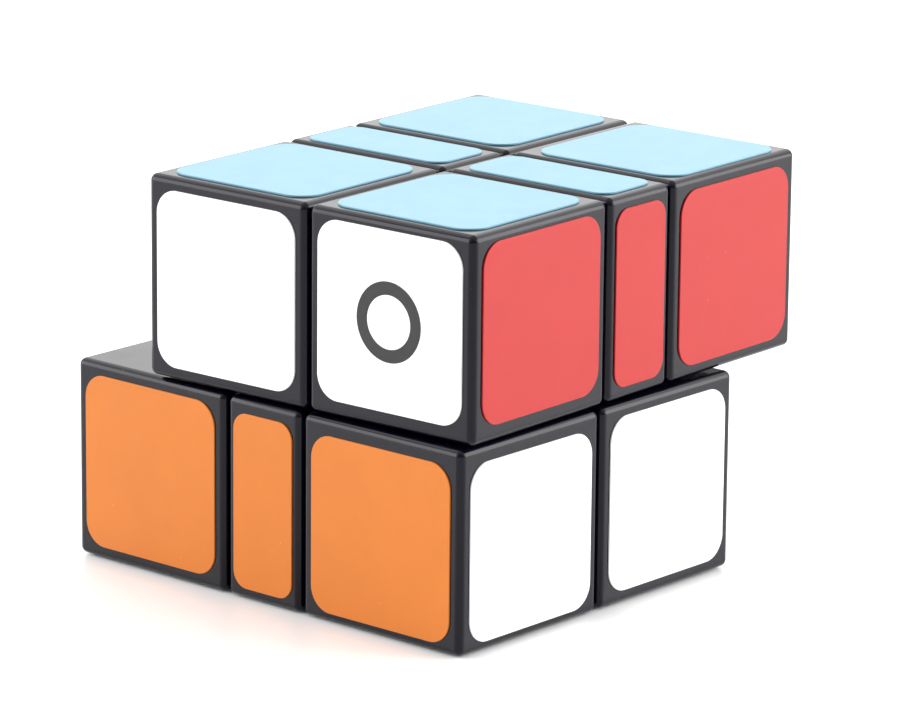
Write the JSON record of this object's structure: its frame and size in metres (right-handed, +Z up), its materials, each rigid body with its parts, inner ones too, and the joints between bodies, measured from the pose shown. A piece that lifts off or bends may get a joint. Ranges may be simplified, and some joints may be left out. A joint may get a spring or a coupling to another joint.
{
  "type": "twisty puzzle cube",
  "caption": "Shape-shifting twisty puzzle in glossy black with coloured stickers and a narrow middle slice, its upper layer standing a quarter turn from its lower layer.",
  "frame": {"origin": "middle of the underside of the bounding box, on the plane of the lowest stickers", "axes": "+Z up, along the axis that the upper layer turns on; -X along the lower layer's long side, +Y along the upper layer's long side, within 2 degrees; -Y and +X are the two faces with the white stickers"},
  "size_m": [0.0628, 0.0636, 0.05],
  "materials": {
    "black_plastic": "polished black moulded plastic",
    "blue_vinyl": "satin vinyl sticker",
    "white_vinyl": "satin vinyl sticker",
    "yellow_vinyl": "satin vinyl sticker",
    "orange_vinyl": "satin vinyl sticker",
    "red_vinyl": "satin vinyl sticker",
    "green_vinyl": "satin vinyl sticker",
    "core_plastic": "undyed moulded nylon",
    "steel": "zinc-plated steel",
    "spring_steel": "drawn spring wire"
  },
  "bodies": {
    "lower_layer": {"back_fixed_hub": "core_plastic", "bottom_back_left_cubie": "black_plastic", "bottom_back_left_green_sticker": "green_vinyl", "bottom_back_left_red_sticker": "red_vinyl", "bottom_back_left_yellow_sticker": "yellow_vinyl", "bottom_back_middle_cubie": "black_plastic", "bottom_back_middle_green_sticker": "green_vinyl", "bottom_back_middle_red_sticker": "red_vinyl", "bottom_back_right_cubie": "black_plastic", "bottom_back_right_green_sticker": "green_vinyl", "bottom_back_right_red_sticker": "red_vinyl", "bottom_back_right_white_sticker": "white_vinyl", "bottom_fixed_hub": "core_plastic", "bottom_front_left_cubie": "black_plastic", "bottom_front_left_green_sticker": "green_vinyl", "bottom_front_left_orange_sticker": "orange_vinyl", "bottom_front_left_yellow_sticker": "yellow_vinyl", "bottom_front_middle_cubie": "black_plastic", "bottom_front_middle_green_sticker": "green_vinyl", "bottom_front_middle_orange_sticker": "orange_vinyl", "bottom_front_right_cubie": "black_plastic", "bottom_front_right_green_sticker": "green_vinyl", "bottom_front_right_orange_sticker": "orange_vinyl", "bottom_front_right_white_sticker": "white_vinyl", "core": "core_plastic", "front_screw": "steel", "front_spring": "spring_steel", "front_turning_hub": "core_plastic", "front_washer": "steel", "left_fixed_hub": "core_plastic", "right_screw": "steel", "right_spring": "spring_steel", "right_turning_hub": "core_plastic", "right_washer": "steel", "top_screw": "steel", "top_washer": "steel"},
    "upper_layer": {"top_back_left_blue_sticker": "blue_vinyl", "top_back_left_cubie": "black_plastic", "top_back_left_orange_sticker": "orange_vinyl", "top_back_left_yellow_sticker": "yellow_vinyl", "top_back_right_blue_sticker": "blue_vinyl", "top_back_right_cubie": "black_plastic", "top_back_right_red_sticker": "red_vinyl", "top_back_right_yellow_sticker": "yellow_vinyl", "top_front_left_blue_sticker": "blue_vinyl", "top_front_left_cubie": "black_plastic", "top_front_left_orange_sticker": "orange_vinyl", "top_front_left_white_sticker": "white_vinyl", "top_front_right_blue_sticker": "blue_vinyl", "top_front_right_cubie": "black_plastic", "top_front_right_red_sticker": "red_vinyl", "top_front_right_white_sticker": "white_vinyl", "top_middle_left_blue_sticker": "blue_vinyl", "top_middle_left_cubie": "black_plastic", "top_middle_left_orange_sticker": "orange_vinyl", "top_middle_right_blue_sticker": "blue_vinyl", "top_middle_right_cubie": "black_plastic", "top_middle_right_red_sticker": "red_vinyl", "top_spring": "spring_steel", "top_turning_hub": "core_plastic"}
  },
  "joints": [
    {"name": "top_layer_turn", "type": "hinge", "parent": "lower_layer", "child": "upper_layer", "pos_m": [0.00566, -0.00605, 0.025], "axis": [0, 0, 1], "continuous": true}
  ]
}
